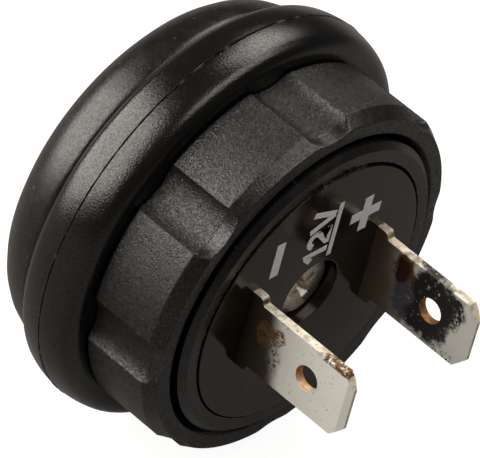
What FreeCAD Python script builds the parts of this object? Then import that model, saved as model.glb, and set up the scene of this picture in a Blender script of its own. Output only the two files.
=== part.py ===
import FreeCAD, Part

import math
import operator
import os
from types import SimpleNamespace

import Sketcher

# A magnetic power socket for a panel, in the pose in which it is fitted to an upright panel.
# Y is the socket's axis: the plug comes to the face at -Y, and the two blades point to +Y.
# y = 0 is the panel's front face, where the gasket bears. X runs from blade to blade, and Z along
# the width of the blades. Every size is in millimetres.

SIZES = {
    # Bezel and plug seat
    "bezel_overhang": 2.9,
    "bezel_depth": 5.4,
    "bezel_front_round": 4.6,
    "bezel_back_round": 0.7,
    "bezel_rim_width": 6.2,
    "dish_depth": 3.6,
    "dish_lip_round": 0.6,
    "face_thick": 1.3,
    # Barrel
    "barrel_radius": 13.7,
    "barrel_end_chamfer": 0.5,
    "barrel_clearance": 0.2,
    "barrel_wall": 1.6,
    "cover_ledge": 0.9,
    "post_radius": 2.6,
    # Gasket
    "gasket_proud": 1.85,
    "gasket_thick": 5.9,
    "gasket_crown_round": 6.0,
    "gasket_shoulder_round": 1.5,
    # Mounting nut
    "nut_wall": 2.25,
    "nut_height": 7.35,
    "nut_gap": 0.1,
    "nut_front_chamfer": 0.25,
    "nut_back_chamfer_across": 0.6,
    "nut_back_chamfer_along": 1.15,
    "nut_entry_chamfer": 0.4,
    "flute_count": 8,
    "flute_width": 4.3,
    "flute_depth": 0.75,
    "flute_turn": 4.0,
    # Rear cover, its seal and its screw
    "cover_height": 8.3,
    "cover_thick": 2.0,
    "cover_proud": 0.15,
    "cover_gap": 0.25,
    "boss_blade_gap": 0.5,
    "boss_web": 1.4,
    "spigot_step": 1.05,
    "spigot_reach": 1.0,
    "seal_section_radius": 0.45,
    "seal_clearance": 0.02,
    "screw_well_radius": 3.0,
    "screw_sink": 0.9,
    "screw_head_radius": 2.75,
    "screw_head_thick": 1.7,
    "screw_head_round": 0.3,
    "screw_radius": 1.5,
    "screw_length": 8.4,
    "screw_point": 0.9,
    "screw_clearance": 0.03,
    "screw_turn": 30.0,
    "cross_reach": 1.55,
    "cross_width": 0.75,
    "cross_depth": 1.1,
    # Blade terminals
    "terminal_thick": 0.8,
    "foot_length": 2.9,
    "blade_width": 6.3,
    "blade_reach": 11.17,
    "blade_corner_along": 1.06,
    "blade_corner_across": 1.2,
    "blade_bevel_along": 0.7,
    "blade_bevel_across": 0.2,
    "blade_hole_radius": 1.12,
    "blade_hole_reach": 6.82,
    "blade_base_width": 7.44,
    "blade_base_reach": 1.11,
    "slot_clearance": 0.08,
    "leg_wall_gap": 0.8,
    "leg_width": 4.0,
    "leg_bend_round": 0.8,
    "pad_length": 1.4,
    # Contact pins in the plug seat
    "pin_pad_gap": 0.4,
    "pin_radius": 1.15,
    "pin_flange_radius": 1.75,
    "pin_flange_thick": 0.55,
    "pin_sink": 0.05,
    "pin_clearance": 0.03,
    "washer_radius": 2.2,
    "washer_thick": 0.65,
    # Sliding magnet carrier
    "carrier_travel": 1.6,
    "carrier_stop_gap": 0.05,
    "carrier_rest_gap": 0.05,
    "carrier_thick": 4.6,
    "carrier_wall_gap": 0.6,
    "carrier_leg_gap": 0.3,
    "guide_clearance": 0.3,
    "magnet_radius": 2.0,
    "magnet_thick": 4.0,
    "magnet_edge": 1.6,
    "magnet_clearance": 0.03,
    "bridge_end": 0.25,
    "bridge_width": 2.8,
    "bridge_thick": 0.5,
    "peg_radius": 0.4,
    "peg_pin_gap": 0.3,
    "peg_spread": 0.75,
    "peg_sink": 0.1,
    "peg_clearance": 0.03,
    "holding_ring_overhang": 2.6,
    "holding_ring_thick": 1.2,
    # Return spring
    "spring_pocket_radius": 4.2,
    "spring_pocket_depth": 2.25,
    "spring_radius": 3.5,
    "spring_wire_radius": 0.25,
    "spring_turns": 5,
    "spring_end_gap": 0.02,
}

OPERATIONS = {"+": operator.add, "-": operator.sub, "*": operator.mul, "/": operator.truediv}

LEFT_TURN = 1
RIGHT_TURN = -1
TO_FRONT = -1
TO_BACK = 1


class Measure:
    """A length that carries its number together with the sheet formula that gives it."""

    def __init__(self, number, formula=None):
        self.number = number
        self.formula = formula or repr(number)

    def __add__(self, other):
        return combine(self, "+", other)

    def __radd__(self, other):
        return combine(other, "+", self)

    def __sub__(self, other):
        return combine(self, "-", other)

    def __rsub__(self, other):
        return combine(other, "-", self)

    def __mul__(self, other):
        return combine(self, "*", other)

    def __rmul__(self, other):
        return combine(other, "*", self)

    def __truediv__(self, other):
        return combine(self, "/", other)

    def __neg__(self):
        return combine(0, "-", self)

    def root(self):
        return Measure(math.sqrt(self.number), f"sqrt({self.formula})")


def as_measure(value):
    return value if isinstance(value, Measure) else Measure(value)


def combine(first, sign, second):
    first, second = as_measure(first), as_measure(second)
    number = OPERATIONS[sign](first.number, second.number)
    return Measure(number, f"({first.formula} {sign} {second.formula})")


def make_sheet(document):
    """Writes the driving sizes into the document's sheet, and returns them as measures by name."""
    sheet = document.addObject("Spreadsheet::Sheet", "Sizes")
    for row, (alias, number) in enumerate(SIZES.items(), 1):
        sheet.set(f"A{row}", alias)
        sheet.set(f"B{row}", str(number))
        sheet.setAlias(f"B{row}", alias)
    document.recompute()
    return SimpleNamespace(**{alias: Measure(number, f"Sizes.{alias}") for alias, number in SIZES.items()})


def bind(thing, path, measure):
    thing.setExpression(path, as_measure(measure).formula)


def new_body(name):
    body = doc.addObject("PartDesign::Body", name)
    body.Label = name
    return body


def origin_feature(body, role):
    return next(feature for feature in body.Origin.OriginFeatures if feature.Role == role)


def new_sketch(body, name, role, lift=0):
    """Sketch on one of the body's own origin planes, lifted along that plane's normal."""
    lift = as_measure(lift)
    sketch = body.newObject("Sketcher::SketchObject", name)
    sketch.AttachmentSupport = (origin_feature(body, role), [""])
    sketch.MapMode = "FlatFace"
    sketch.AttachmentOffset = FreeCAD.Placement(FreeCAD.Vector(0, 0, lift.number), FreeCAD.Rotation())
    bind(sketch, "AttachmentOffset.Base.z", lift)
    return sketch


def cross_sketch(body, name, level):
    """Sketch square to the socket's axis at the given y. Its normal points to the front."""
    return new_sketch(body, name, "XZ_Plane", -as_measure(level))


def fix_point(sketch, geometry, vertex, x, y):
    for kind, measure in (("DistanceX", as_measure(x)), ("DistanceY", as_measure(y))):
        index = sketch.addConstraint(Sketcher.Constraint(kind, -1, 1, geometry, vertex, measure.number))
        bind(sketch, f"Constraints[{index}]", measure)


def fix_radius(sketch, geometry, radius):
    index = sketch.addConstraint(Sketcher.Constraint("Radius", geometry, radius.number))
    bind(sketch, f"Constraints[{index}]", radius)


def arc_between(start, end, radius, turn):
    """Shorter arc from start to end that turns left or right, and its vertices at start and end."""
    chord = end - start
    reach = math.sqrt(max(radius ** 2 - (chord.Length / 2) ** 2, 0))
    side = FreeCAD.Vector(-chord.y, chord.x, 0).normalize() * (turn * reach)
    centre = start + chord / 2 + side
    angles = [math.atan2(point.y - centre.y, point.x - centre.x) for point in (start, end)]
    circle = Part.Circle(centre, FreeCAD.Vector(0, 0, 1), radius)
    if turn == LEFT_TURN:
        return Part.ArcOfCircle(circle, angles[0], angles[1]), 1, 2
    return Part.ArcOfCircle(circle, angles[1], angles[0]), 2, 1


def draw_outline(sketch, corners):
    """Closed outline through corners (x, y). A third entry (radius, turn) bows the side that leaves."""
    points = [FreeCAD.Vector(as_measure(c[0]).number, as_measure(c[1]).number, 0) for c in corners]
    sides = []
    for i, corner in enumerate(corners):
        start, end = points[i], points[(i + 1) % len(points)]
        if len(corner) > 2:
            radius, turn = corner[2]
            curve, first, last = arc_between(start, end, radius.number, turn)
        else:
            radius, curve, first, last = None, Part.LineSegment(start, end), 1, 2
        index = sketch.addGeometry(curve, False)
        if radius is not None:
            fix_radius(sketch, index, radius)
        sides.append((index, first, last))
    for i, (index, first, _) in enumerate(sides):
        before, _, last = sides[i - 1]
        sketch.addConstraint(Sketcher.Constraint("Coincident", before, last, index, first))
        fix_point(sketch, index, first, corners[i][0], corners[i][1])


def draw_rectangle(sketch, x0, y0, x1, y1):
    draw_outline(sketch, [(x0, y0), (x1, y0), (x1, y1), (x0, y1)])


def draw_circle(sketch, x, y, radius):
    centre = FreeCAD.Vector(as_measure(x).number, as_measure(y).number, 0)
    index = sketch.addGeometry(Part.Circle(centre, FreeCAD.Vector(0, 0, 1), radius.number), False)
    fix_point(sketch, index, 3, x, y)
    fix_radius(sketch, index, radius)


def revolve(name, corners):
    """Body turned about the socket's axis from an outline of (radius, y) corners."""
    body = new_body(name)
    sketch = new_sketch(body, f"{name}_section", "XY_Plane")
    draw_outline(sketch, corners)
    turned = body.newObject("PartDesign::Revolution", f"{name}_turned")
    turned.Profile = sketch
    turned.ReferenceAxis = (sketch, ["V_Axis"])
    turned.Angle = 360
    doc.recompute()
    return body


def extrude(body, name, kind, sketch, length, backwards=False, both_ways=False):
    """Pad or pocket of a sketch. Both ways centres it on the sketch."""
    feature = body.newObject(f"PartDesign::{kind}", name)
    feature.Profile = sketch
    bind(feature, "Length", length)
    feature.Reversed = backwards
    feature.Midplane = both_ways
    body.Tip = feature
    doc.recompute()
    return feature


def pad_along(body, name, sketch, length, way):
    return extrude(body, name, "Pad", sketch, length, backwards=way == TO_BACK)


def cut_along(body, name, sketch, length, way):
    """Pocket along the axis, which must take material away."""
    before = body.Shape.Volume
    feature = extrude(body, name, "Pocket", sketch, length, backwards=way == TO_FRONT)
    if not body.Shape.Volume < before:
        raise RuntimeError(f"{name} takes nothing away")
    return feature


def place(thing, x=0, y=0, z=0, turn_axis=(0, 1, 0), turn=0):
    """Binds the Placement of an object: a turn in degrees about an axis, then a shift."""
    shift = [as_measure(value) for value in (x, y, z)]
    turn = as_measure(turn)
    thing.Placement = FreeCAD.Placement(
        FreeCAD.Vector(*(value.number for value in shift)),
        FreeCAD.Rotation(FreeCAD.Vector(*turn_axis), turn.number),
    )
    for letter, value in zip("xyz", shift):
        bind(thing, f"Placement.Base.{letter}", value)


doc = FreeCAD.newDocument("magnetic_power_socket")
s = make_sheet(doc)

# Levels along the axis, from the front to the back
seat_level = -s.gasket_thick
front_level = seat_level - s.bezel_depth
face_level = front_level + s.dish_depth
floor_level = face_level + s.face_thick
contact_level = floor_level + s.terminal_thick
bridge_front = contact_level + s.carrier_travel + s.carrier_stop_gap
carrier_front = bridge_front + s.bridge_thick
carrier_back = carrier_front + s.carrier_thick
ring_front = carrier_back + s.carrier_rest_gap
ring_back = ring_front + s.holding_ring_thick
cover_back = s.cover_height
cover_front = cover_back - s.cover_thick
rim_level = cover_back - s.cover_proud
screw_top = cover_back - s.screw_sink
screw_seat = screw_top - s.screw_head_thick
screw_end = screw_seat - s.screw_length
post_end = screw_seat - s.boss_web
nut_front = s.nut_gap
nut_back = nut_front + s.nut_height

# Radii and offsets that follow from the barrel, shared by pieces that fit together
bore_radius = s.barrel_radius + s.barrel_clearance
nut_radius = bore_radius + s.nut_wall
bezel_radius = s.barrel_radius + s.bezel_overhang
dish_radius = bezel_radius - s.bezel_rim_width
gasket_radius = bezel_radius + s.gasket_proud
cover_seat_radius = s.barrel_radius - s.barrel_wall
cavity_radius = cover_seat_radius - s.cover_ledge
pilot_radius = s.screw_radius + s.screw_clearance
guide_radius = s.post_radius + s.guide_clearance
cover_radius = cover_seat_radius - s.cover_gap
leg_outer = cavity_radius - s.leg_wall_gap
leg_inner = leg_outer - s.terminal_thick
terminal_offset = (leg_inner + leg_outer) / 2 - s.foot_length
boss_radius = terminal_offset - s.terminal_thick / 2 - s.boss_blade_gap
spigot_radius = boss_radius - s.spigot_step
pad_inner = leg_inner + s.terminal_thick / 2 - s.pad_length
pin_offset = pad_inner - s.pin_pad_gap - s.washer_radius
peg_offset = pin_offset + s.pin_radius + s.peg_pin_gap + s.peg_radius
bridge_inner = pin_offset - s.pin_radius - s.bridge_end
carrier_radius = cavity_radius - s.carrier_wall_gap
carrier_flat = leg_inner - s.carrier_leg_gap
magnet_place = (carrier_radius - s.magnet_edge - s.magnet_radius) * Measure(0.5).root()
holding_ring_radius = boss_radius + s.holding_ring_overhang
seal_radius = cover_seat_radius - s.seal_section_radius - s.seal_clearance
seal_level = cover_front + s.cover_thick / 2


def make_socket_body():
    """Bezel, barrel, face of the plug seat and centre post, moulded in one piece."""
    round_start = bezel_radius - s.bezel_front_round
    body = revolve("socket_body", [
        (0, face_level),
        (dish_radius, face_level),
        (dish_radius, front_level + s.dish_lip_round, (s.dish_lip_round, RIGHT_TURN)),
        (dish_radius + s.dish_lip_round, front_level),
        (round_start, front_level, (s.bezel_front_round, LEFT_TURN)),
        (bezel_radius, front_level + s.bezel_front_round),
        (bezel_radius, seat_level - s.bezel_back_round, (s.bezel_back_round, LEFT_TURN)),
        (bezel_radius - s.bezel_back_round, seat_level),
        (s.barrel_radius, seat_level),
        (s.barrel_radius, rim_level - s.barrel_end_chamfer),
        (s.barrel_radius - s.barrel_end_chamfer, rim_level),
        (cover_seat_radius, rim_level),
        (cover_seat_radius, cover_front),
        (cavity_radius, cover_front),
        (cavity_radius, floor_level),
        (s.post_radius, floor_level),
        (s.post_radius, post_end),
        (pilot_radius, post_end),
        (pilot_radius, screw_end),
        (0, screw_end - s.screw_point),
    ])
    wells = cross_sketch(body, "pin_wells", face_level)
    holes = cross_sketch(body, "pin_holes", face_level)
    for side in (-1, 1):
        draw_circle(wells, side * pin_offset, 0, s.pin_flange_radius + s.pin_clearance)
        draw_circle(holes, side * pin_offset, 0, s.pin_radius + s.pin_clearance)
    cut_along(body, "pin_wells_cut", wells, s.pin_sink + s.pin_flange_thick, TO_BACK)
    cut_along(body, "pin_holes_cut", holes, s.face_thick, TO_BACK)
    return body


def make_gasket():
    """Rubber ring with a bowed crown and rounded shoulders."""
    crown_centre = gasket_radius - s.gasket_crown_round
    gap = s.gasket_crown_round - s.gasket_shoulder_round
    drop = s.gasket_thick / 2 - s.gasket_shoulder_round
    run = (gap * gap - drop * drop).root()
    share = s.gasket_crown_round / gap
    middle = -s.gasket_thick / 2
    crown = (s.gasket_crown_round, LEFT_TURN)
    shoulder = (s.gasket_shoulder_round, LEFT_TURN)
    return revolve("sealing_gasket", [
        (bore_radius, seat_level),
        (crown_centre + run, seat_level, shoulder),
        (crown_centre + run * share, middle - drop * share, crown),
        (crown_centre + run * share, middle + drop * share, shoulder),
        (crown_centre + run, 0),
        (bore_radius, 0),
    ])


def make_nut():
    """Ring nut with a fluted grip, chamfered at the back and eased at both ends of its bore."""
    entry = bore_radius + s.nut_entry_chamfer
    body = revolve("mounting_nut", [
        (entry, nut_front),
        (nut_radius - s.nut_front_chamfer, nut_front),
        (nut_radius, nut_front + s.nut_front_chamfer),
        (nut_radius, nut_back - s.nut_back_chamfer_along),
        (nut_radius - s.nut_back_chamfer_across, nut_back),
        (entry, nut_back),
        (bore_radius, nut_back - s.nut_entry_chamfer),
        (bore_radius, nut_front + s.nut_entry_chamfer),
    ])
    half = s.flute_width / 2
    bulge = nut_radius - (nut_radius * nut_radius - half * half).root()
    sink = s.flute_depth - bulge
    cutter = (half * half + sink * sink) / (2 * sink)
    flute = cross_sketch(body, "flute_section", 0)
    draw_circle(flute, 0, nut_radius - s.flute_depth + cutter, cutter)
    cut = cut_along(body, "flute", flute, nut_back * 2, TO_BACK)
    flutes = body.newObject("PartDesign::PolarPattern", "flutes")
    flutes.Originals = [cut]
    flutes.Axis = (origin_feature(body, "Y_Axis"), [""])
    flutes.Angle = 360
    bind(flutes, "Occurrences", s.flute_count)
    body.Tip = flutes
    place(body, turn=s.flute_turn)
    return body


def make_cover():
    """Rear disc with the blade slots, the screw's well, a seal groove and the boss for the holding ring."""
    groove_half = s.seal_section_radius + s.seal_clearance
    groove_radius = seal_radius - groove_half
    body = revolve("rear_cover", [
        (guide_radius, ring_back - s.spigot_reach),
        (spigot_radius, ring_back - s.spigot_reach),
        (spigot_radius, ring_back),
        (boss_radius, ring_back),
        (boss_radius, cover_front),
        (cover_radius, cover_front),
        (cover_radius, seal_level - groove_half),
        (groove_radius, seal_level - groove_half),
        (groove_radius, seal_level + groove_half),
        (cover_radius, seal_level + groove_half),
        (cover_radius, cover_back),
        (s.screw_well_radius, cover_back),
        (s.screw_well_radius, screw_seat),
        (pilot_radius, screw_seat),
        (pilot_radius, post_end),
        (guide_radius, post_end),
    ])
    slots = cross_sketch(body, "blade_slots", cover_back)
    half_thick = s.terminal_thick / 2 + s.slot_clearance
    half_width = s.blade_base_width / 2 + s.slot_clearance
    for side in (-1, 1):
        middle = side * terminal_offset
        draw_rectangle(slots, middle - half_thick, -half_width, middle + half_thick, half_width)
    cut_along(body, "blade_slots_cut", slots, s.cover_thick, TO_FRONT)
    return body


def make_screw():
    """Pan-head screw with a cross recess."""
    body = revolve("cover_screw", [
        (0, screw_end),
        (s.screw_radius, screw_end + s.screw_point),
        (s.screw_radius, screw_seat),
        (s.screw_head_radius, screw_seat),
        (s.screw_head_radius, screw_top - s.screw_head_round, (s.screw_head_round, LEFT_TURN)),
        (s.screw_head_radius - s.screw_head_round, screw_top),
        (0, screw_top),
    ])
    arm, half = s.cross_reach, s.cross_width / 2
    cross = cross_sketch(body, "cross_section", screw_top)
    draw_outline(cross, [
        (-half, -arm), (half, -arm), (half, -half), (arm, -half), (arm, half), (half, half),
        (half, arm), (-half, arm), (-half, half), (-arm, half), (-arm, -half), (-half, -half),
    ])
    cut_along(body, "cross_cut", cross, s.cross_depth, TO_FRONT)
    place(body, turn=s.screw_turn)
    return body


def make_terminal(name, side):
    """Blade, foot, leg and contact pad, bent from one strip. Side is the sign of its place on X."""
    body = new_body(name)
    blade_face = side * terminal_offset - s.terminal_thick / 2
    half_base, half_blade = s.blade_base_width / 2, s.blade_width / 2
    half_tip = half_blade - s.blade_corner_across
    foot = cover_front - s.terminal_thick
    shoulder = cover_back + s.blade_base_reach
    shoulder_round = half_base - half_blade
    tip = cover_back + s.blade_reach
    corner = tip - s.blade_corner_along
    blade = new_sketch(body, f"{name}_blade_outline", "YZ_Plane", blade_face)
    draw_outline(blade, [
        (foot, -half_base),
        (shoulder - shoulder_round, -half_base, (shoulder_round, LEFT_TURN)),
        (shoulder, -half_blade),
        (corner, -half_blade),
        (tip, -half_tip),
        (tip, half_tip),
        (corner, half_blade),
        (shoulder, half_blade, (shoulder_round, LEFT_TURN)),
        (shoulder - shoulder_round, half_base),
        (foot, half_base),
    ])
    draw_circle(blade, cover_back + s.blade_hole_reach, 0, s.blade_hole_radius)
    extrude(body, f"{name}_blade", "Pad", blade, s.terminal_thick)

    bend = (s.leg_bend_round, LEFT_TURN if side > 0 else RIGHT_TURN)
    inner_face = terminal_offset - s.terminal_thick / 2
    strip = new_sketch(body, f"{name}_strip_section", "XY_Plane")
    draw_outline(strip, [
        (side * pad_inner, floor_level),
        (side * (leg_outer - s.leg_bend_round), floor_level, bend),
        (side * leg_outer, floor_level + s.leg_bend_round),
        (side * leg_outer, cover_front - s.leg_bend_round, bend),
        (side * (leg_outer - s.leg_bend_round), cover_front),
        (side * inner_face, cover_front),
        (side * inner_face, foot),
        (side * leg_inner, foot),
        (side * leg_inner, contact_level),
        (side * pad_inner, contact_level),
    ])
    extrude(body, f"{name}_strip", "Pad", strip, s.leg_width, both_ways=True)

    bevels = new_sketch(body, f"{name}_bevel_section", "XY_Plane")
    for face, inward in ((blade_face, 1), (blade_face + s.terminal_thick, -1)):
        draw_outline(bevels, [
            (face, tip - s.blade_bevel_along),
            (face + inward * s.blade_bevel_across, tip),
            (face, tip),
        ])
    extrude(body, f"{name}_bevels", "Pocket", bevels, s.blade_width, both_ways=True)
    return body


def make_contact_pin(name, side):
    """Contact pin in the plug seat, headed at the front."""
    flange_front = face_level + s.pin_sink
    flange_back = flange_front + s.pin_flange_thick
    body = revolve(name, [
        (0, flange_front),
        (s.pin_flange_radius, flange_front),
        (s.pin_flange_radius, flange_back),
        (s.pin_radius, flange_back),
        (s.pin_radius, contact_level),
        (0, contact_level),
    ])
    place(body, x=side * pin_offset)
    return body


def make_pin_washer(name, side):
    """Push-on washer that holds a contact pin from behind."""
    inner = s.pin_radius + s.pin_clearance
    body = revolve(name, [
        (inner, floor_level),
        (s.washer_radius, floor_level),
        (s.washer_radius, floor_level + s.washer_thick),
        (inner, floor_level + s.washer_thick),
    ])
    place(body, x=side * pin_offset)
    return body


def make_carrier():
    """Disc that slides on the post, with pockets for the magnets and pegs for the contact bridges."""
    pocket_floor = carrier_front + s.spring_pocket_depth
    body = revolve("magnet_carrier", [
        (s.spring_pocket_radius, carrier_front),
        (carrier_radius, carrier_front),
        (carrier_radius, carrier_back),
        (guide_radius, carrier_back),
        (guide_radius, pocket_floor),
        (s.spring_pocket_radius, pocket_floor),
    ])
    flats = cross_sketch(body, "leg_flats", carrier_front)
    pockets = cross_sketch(body, "magnet_pockets", carrier_back)
    pegs = cross_sketch(body, "bridge_pegs", carrier_front)
    for side in (-1, 1):
        draw_rectangle(flats, side * carrier_flat, -carrier_radius,
                       side * (carrier_radius + 1), carrier_radius)
        for end in (-1, 1):
            draw_circle(pockets, side * magnet_place, end * magnet_place, s.magnet_radius + s.magnet_clearance)
            draw_circle(pegs, side * peg_offset, end * s.peg_spread, s.peg_radius)
    cut_along(body, "leg_flats_cut", flats, s.carrier_thick, TO_BACK)
    cut_along(body, "magnet_pockets_cut", pockets, s.magnet_thick, TO_FRONT)
    pad_along(body, "bridge_pegs_pad", pegs, s.bridge_thick - s.peg_sink, TO_FRONT)
    return body


def make_magnet(name, side, end):
    magnet = doc.addObject("Part::Cylinder", name)
    magnet.Label = name
    bind(magnet, "Radius", s.magnet_radius)
    bind(magnet, "Height", s.magnet_thick)
    place(magnet, x=side * magnet_place, y=carrier_back - s.magnet_thick, z=end * magnet_place,
          turn_axis=(1, 0, 0), turn=-90)
    return magnet


def make_bridge(name, side):
    """Contact strip on the carrier's front that joins a pin to its terminal's pad."""
    body = new_body(name)
    strip = cross_sketch(body, f"{name}_outline", bridge_front)
    draw_rectangle(strip, side * bridge_inner, -s.bridge_width / 2, side * carrier_flat, s.bridge_width / 2)
    for end in (-1, 1):
        draw_circle(strip, side * peg_offset, end * s.peg_spread, s.peg_radius + s.peg_clearance)
    pad_along(body, f"{name}_pad", strip, s.bridge_thick, TO_BACK)
    return body


def make_holding_ring():
    """Steel ring on the cover's spigot that holds the magnets back while no plug is near."""
    bore = spigot_radius + s.screw_clearance
    return revolve("holding_ring", [
        (bore, ring_front),
        (holding_ring_radius, ring_front),
        (holding_ring_radius, ring_back),
        (bore, ring_back),
    ])


def make_seal():
    seal = doc.addObject("Part::Torus", "cover_seal")
    seal.Label = "cover_seal"
    bind(seal, "Radius1", seal_radius)
    bind(seal, "Radius2", s.seal_section_radius)
    place(seal, y=seal_level, turn_axis=(1, 0, 0), turn=-90)
    return seal


def make_spring():
    """Coil round the post that pushes the carrier back from the face."""
    body = new_body("return_spring")
    start = floor_level + s.spring_wire_radius + s.spring_end_gap
    end = carrier_front + s.spring_pocket_depth - s.spring_wire_radius - s.spring_end_gap
    wire = new_sketch(body, "wire_section", "XY_Plane")
    draw_circle(wire, s.spring_radius, start, s.spring_wire_radius)
    coil = body.newObject("PartDesign::AdditiveHelix", "coil")
    coil.Profile = wire
    coil.ReferenceAxis = (wire, ["V_Axis"])
    coil.Mode = "pitch-height-angle"
    coil.Angle = 0
    coil.Growth = 0
    bind(coil, "Height", end - start)
    bind(coil, "Pitch", (end - start) / s.spring_turns)
    body.Tip = coil
    doc.recompute()
    return body


def check(pieces):
    """Stops where a feature failed or a piece is not one sound solid."""
    doc.recompute()
    failed = [thing.Name for thing in doc.Objects if {"Invalid", "Error"} & set(thing.State)]
    if failed:
        raise RuntimeError(f"features that failed: {failed}")
    for piece in pieces:
        shape = piece.Shape
        if shape.isNull() or not shape.isValid() or len(shape.Solids) != 1:
            raise RuntimeError(f"{piece.Label} is not one sound solid")


POSITIVE_SIDE = -1
NEGATIVE_SIDE = 1

pieces = [
    make_socket_body(),
    make_gasket(),
    make_nut(),
    make_cover(),
    make_seal(),
    make_screw(),
    make_carrier(),
    make_spring(),
    make_holding_ring(),
]
for pole, side in (("positive", POSITIVE_SIDE), ("negative", NEGATIVE_SIDE)):
    pieces.append(make_terminal(f"terminal_{pole}", side))
    pieces.append(make_contact_pin(f"contact_pin_{pole}", side))
    pieces.append(make_pin_washer(f"pin_washer_{pole}", side))
    pieces.append(make_bridge(f"contact_bridge_{pole}", side))
for number, (side, end) in enumerate(((-1, -1), (-1, 1), (1, -1), (1, 1)), 1):
    pieces.append(make_magnet(f"slide_magnet_{number}", side, end))

check(pieces)
os.makedirs("parts", exist_ok=True)
for piece in pieces:
    piece.Shape.exportStep(f"parts/{piece.Label}.step")
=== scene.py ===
import math

import bmesh
import bpy
from bpy.props import FloatProperty, FloatVectorProperty, PointerProperty
from mathutils import Matrix, Vector, noise


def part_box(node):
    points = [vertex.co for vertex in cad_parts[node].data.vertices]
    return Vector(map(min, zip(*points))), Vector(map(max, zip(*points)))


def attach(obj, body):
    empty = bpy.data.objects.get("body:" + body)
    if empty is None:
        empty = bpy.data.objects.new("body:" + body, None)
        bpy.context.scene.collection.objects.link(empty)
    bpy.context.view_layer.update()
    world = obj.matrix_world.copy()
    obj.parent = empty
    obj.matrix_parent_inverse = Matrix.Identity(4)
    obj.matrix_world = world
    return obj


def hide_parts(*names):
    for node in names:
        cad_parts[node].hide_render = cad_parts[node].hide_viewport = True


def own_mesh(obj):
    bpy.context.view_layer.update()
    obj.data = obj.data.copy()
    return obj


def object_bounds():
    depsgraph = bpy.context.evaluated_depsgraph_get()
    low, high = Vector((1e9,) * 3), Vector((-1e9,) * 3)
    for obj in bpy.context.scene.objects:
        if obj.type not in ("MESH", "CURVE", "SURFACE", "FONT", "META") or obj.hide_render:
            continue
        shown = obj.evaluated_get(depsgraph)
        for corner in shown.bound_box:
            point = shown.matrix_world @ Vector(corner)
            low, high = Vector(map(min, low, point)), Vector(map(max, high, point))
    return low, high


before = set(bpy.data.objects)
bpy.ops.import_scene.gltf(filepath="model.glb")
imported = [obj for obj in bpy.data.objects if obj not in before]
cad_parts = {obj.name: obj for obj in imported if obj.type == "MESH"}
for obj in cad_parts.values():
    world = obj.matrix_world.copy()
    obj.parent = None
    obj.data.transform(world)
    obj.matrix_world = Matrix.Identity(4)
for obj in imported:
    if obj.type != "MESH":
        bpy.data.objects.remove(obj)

bl_info = {
    "name": "Magnetic power socket",
    "version": (1, 0, 0),
    "blender": (4, 5, 0),
    "location": "View3D > Sidebar > Socket",
    "description": "Dresses the packed socket: moulded body, gasket, ring nut, cover, blades and studio",
    "category": "Object",
}

CAD_BOX = [list(corner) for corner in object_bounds()]
MM = 0.001

# Levels along Y and radii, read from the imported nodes
BODY_LOW, BODY_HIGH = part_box("socket_body")
GASKET_LOW, GASKET_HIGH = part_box("sealing_gasket")
NUT_LOW, NUT_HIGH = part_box("mounting_nut")
SCREW_LOW, SCREW_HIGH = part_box("cover_screw")
BLADE_LOW, BLADE_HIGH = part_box("terminal_negative")
PIN_LOW, PIN_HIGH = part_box("contact_pin_negative")
COVER_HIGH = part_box("rear_cover")[1]

BEZEL_RADIUS = BODY_HIGH.x
FRONT = BODY_LOW.y
RIM = BODY_HIGH.y
SEAT = GASKET_LOW.y
GASKET_RADIUS = GASKET_HIGH.x
GASKET_MIDDLE = (SEAT + GASKET_HIGH.y) / 2
NUT_FRONT, NUT_BACK = NUT_LOW.y, NUT_HIGH.y
COVER_RADIUS = COVER_HIGH.x
COVER_BACK = COVER_HIGH.y
RING_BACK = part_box("holding_ring")[1].y
BLADE_TIP = BLADE_HIGH.y
SCREW_TIP, SCREW_TOP = SCREW_LOW.y, SCREW_HIGH.y

# Sizes that repeat the solids where a box can't give them
BARREL_RADIUS = 13.7 * MM
BORE_RADIUS = 13.9 * MM
NUT_RADIUS = 16.15 * MM
SEAM_RADIUS = 12.1 * MM
CAVITY_RADIUS = 11.2 * MM
POST_RADIUS = 2.6 * MM
GUIDE_RADIUS = 2.9 * MM
PILOT_RADIUS = 1.53 * MM
DISH_RADIUS = 10.4 * MM
DISH_DEPTH = 3.6 * MM
FACE_THICK = 1.3 * MM
COVER_THICK = 2.0 * MM
WELL_RADIUS = 3.0 * MM
HEAD_THICK = 1.7 * MM
BOSS_WEB = 1.4 * MM
BLADE_THICK = 0.8 * MM
BLADE_WIDTH = 6.3 * MM
BLADE_MIDDLE = BLADE_LOW.x + BLADE_THICK / 2
BLADE_HOLE_OUT = 6.82 * MM
BLADE_HOLE_RADIUS = 1.12 * MM
BASE_WIDTH = BLADE_HIGH.z - BLADE_LOW.z
PIN_MIDDLE = (PIN_LOW.x + PIN_HIGH.x) / 2

FACE = FRONT + DISH_DEPTH
FLOOR = FACE + FACE_THICK
COVER_FRONT = COVER_BACK - COVER_THICK
SCREW_SEAT = SCREW_TOP - HEAD_THICK
POST_END = SCREW_SEAT - BOSS_WEB

# Mesh steps, and the differences that count as none
ROUND_STEPS = 7
COLUMNS = 288
HAIR = 1e-9
SAME_RADIUS = 1e-7


def length(name, description, default):
    return FloatProperty(name=name, description=description, default=default, unit="LENGTH", precision=5)


def colour(name, description, default):
    return FloatVectorProperty(name=name, description=description, default=default, subtype="COLOR",
                               min=0.0, max=1.0)


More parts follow.
